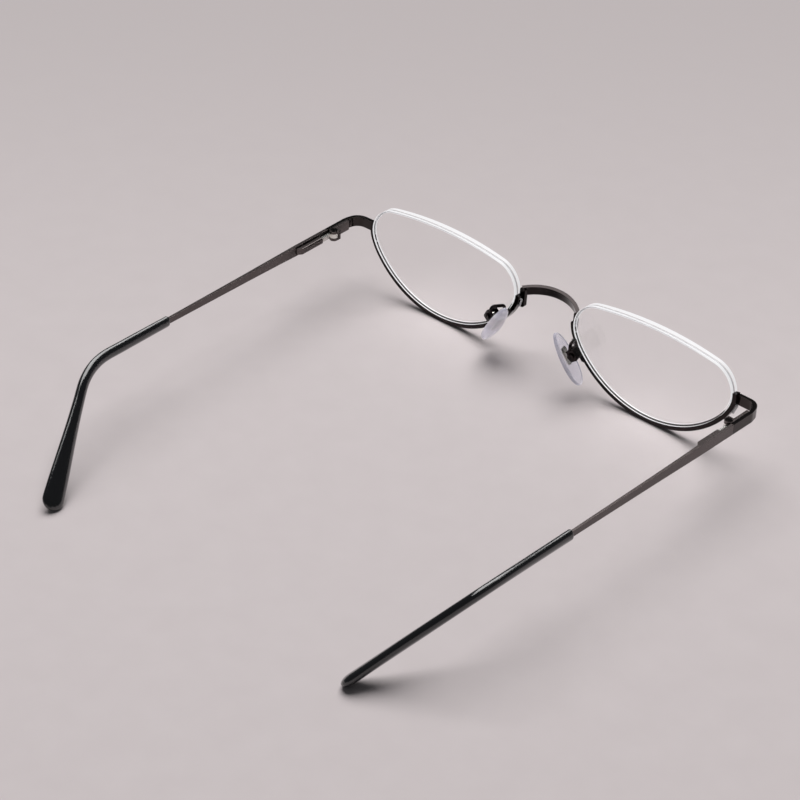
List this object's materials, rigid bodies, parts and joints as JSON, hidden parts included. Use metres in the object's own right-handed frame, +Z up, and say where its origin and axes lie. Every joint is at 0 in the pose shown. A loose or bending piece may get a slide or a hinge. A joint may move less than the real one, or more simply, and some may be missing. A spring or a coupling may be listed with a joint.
{
  "type": "half eye reading glasses",
  "caption": "Half eye reading glasses: low lenses in half rims with a nylon line, arched bridge, adjustable nose pads and folding temples on spring hinges with bent tips.",
  "frame": {"origin": "on the table, under the middle of the box round the open glasses", "axes": "+Z up, -Y the way the lenses face, +X to the wearer's left"},
  "size_m": [0.1356, 0.1364, 0.0273],
  "materials": {
    "frame_metal": "satin gunmetal brown",
    "bright_metal": "bright nickel",
    "spring_steel": "drawn wire",
    "lens_plastic": "clear polished, with a fine ground edge",
    "nylon_line": "clear line",
    "tip_plastic": "polished black",
    "pad_plastic": "soft clear, slightly milky"
  },
  "bodies": {
    "front": {"bridge": "frame_metal", "left_lens": "lens_plastic", "left_rim": "frame_metal", "left_lens_line": "nylon_line", "left_end_piece": "frame_metal", "left_front_leaf": "frame_metal", "left_hinge_screw": "frame_metal", "left_pad_arm": "frame_metal", "left_pad_box": "frame_metal", "left_pad_screw": "frame_metal", "right_lens": "lens_plastic", "right_rim": "frame_metal", "right_lens_line": "nylon_line", "right_end_piece": "frame_metal", "right_front_leaf": "frame_metal", "right_hinge_screw": "frame_metal", "right_pad_arm": "frame_metal", "right_pad_box": "frame_metal", "right_pad_screw": "frame_metal"},
    "tongue_left": {"left_hinge_tongue": "bright_metal", "left_spring_stop": "bright_metal"},
    "temple_left": {"left_hinge_housing": "frame_metal", "left_guide_bush": "bright_metal", "left_hinge_spring": "spring_steel", "left_temple": "frame_metal", "left_temple_tip": "tip_plastic"},
    "pad_left": {"left_nose_pad": "pad_plastic", "left_pad_insert": "bright_metal"},
    "tongue_right": {"right_hinge_tongue": "bright_metal", "right_spring_stop": "bright_metal"},
    "temple_right": {"right_hinge_housing": "frame_metal", "right_guide_bush": "bright_metal", "right_hinge_spring": "spring_steel", "right_temple": "frame_metal", "right_temple_tip": "tip_plastic"},
    "pad_right": {"right_nose_pad": "pad_plastic", "right_pad_insert": "bright_metal"}
  },
  "joints": [
    {"name": "left_temple_fold", "type": "hinge", "parent": "front", "child": "tongue_left", "pos_m": [0.06545, -0.05184, 0.018], "axis": [0.0006, -0.0279, 0.9996], "range_deg": [0, 84]},
    {"name": "left_spring_slide", "type": "slide", "parent": "tongue_left", "child": "temple_left", "axis": [-0.0227, 0.9994, 0.0279], "range_m": [0, 0.0012], "stiffness_N_per_m": 300, "springref_m": -0.004, "deforming": ["left_hinge_spring"]},
    {"name": "left_pad_rock", "type": "hinge", "parent": "front", "child": "pad_left", "pos_m": [0.01355, -0.05654, 0.01285], "axis": [0.2419, 0.9703, 0], "range_deg": [-5, 7]},
    {"name": "right_temple_fold", "type": "hinge", "parent": "front", "child": "tongue_right", "pos_m": [-0.06545, -0.05184, 0.018], "axis": [0.0006, 0.0279, -0.9996], "range_deg": [0, 76]},
    {"name": "right_spring_slide", "type": "slide", "parent": "tongue_right", "child": "temple_right", "axis": [0.0227, 0.9994, 0.0279], "range_m": [0, 0.0012], "stiffness_N_per_m": 300, "springref_m": -0.004, "deforming": ["right_hinge_spring"]},
    {"name": "right_pad_rock", "type": "hinge", "parent": "front", "child": "pad_right", "pos_m": [-0.01355, -0.05654, 0.01285], "axis": [0.2419, -0.9703, 0], "range_deg": [-5, 7]}
  ]
}
